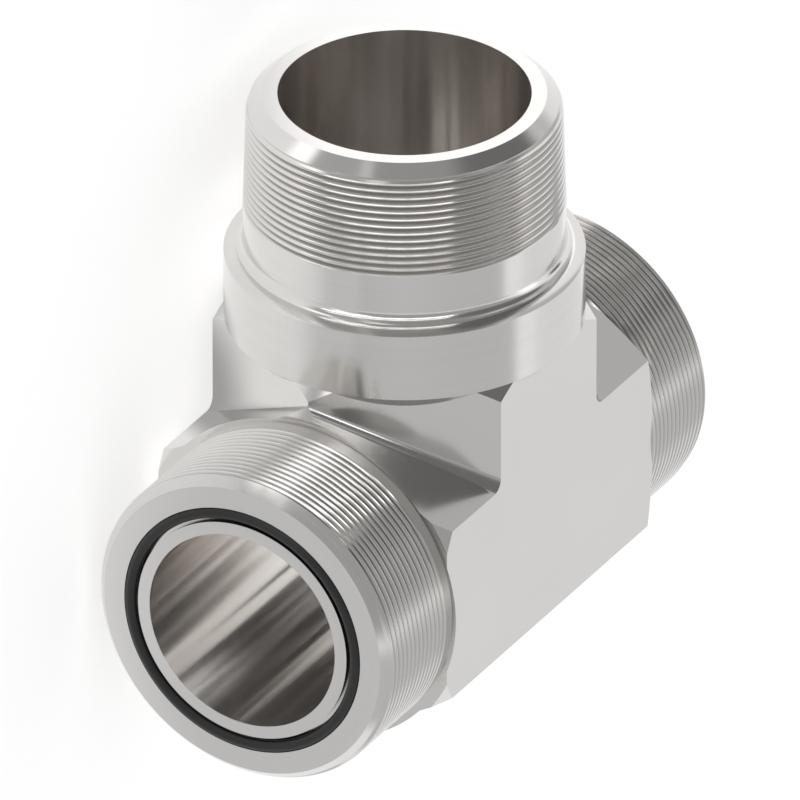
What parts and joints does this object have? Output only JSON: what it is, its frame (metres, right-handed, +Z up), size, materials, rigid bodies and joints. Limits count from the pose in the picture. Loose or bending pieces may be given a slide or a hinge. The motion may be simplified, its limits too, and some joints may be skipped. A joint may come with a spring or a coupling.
{
  "type": "tee adapter",
  "caption": "Hydraulic tee adapter: hexagon body, face-seal threaded run ends with O-rings, and a collared branch with a tapered pipe thread.",
  "frame": {"origin": "where the axis of the run and the axis of the branch cross", "axes": "+X along the run towards its rear end, +Y along the branch towards its threaded end, +Z up out of the upper wrench flat as the tee lies on its side"},
  "size_m": [0.0974, 0.0967, 0.054],
  "materials": {
    "plated_steel": "satin",
    "seal_rubber": "matte"
  },
  "bodies": {
    "root": {"tee_body": "plated_steel", "front_face_seal": "seal_rubber", "rear_face_seal": "seal_rubber"}
  },
  "joints": []
}
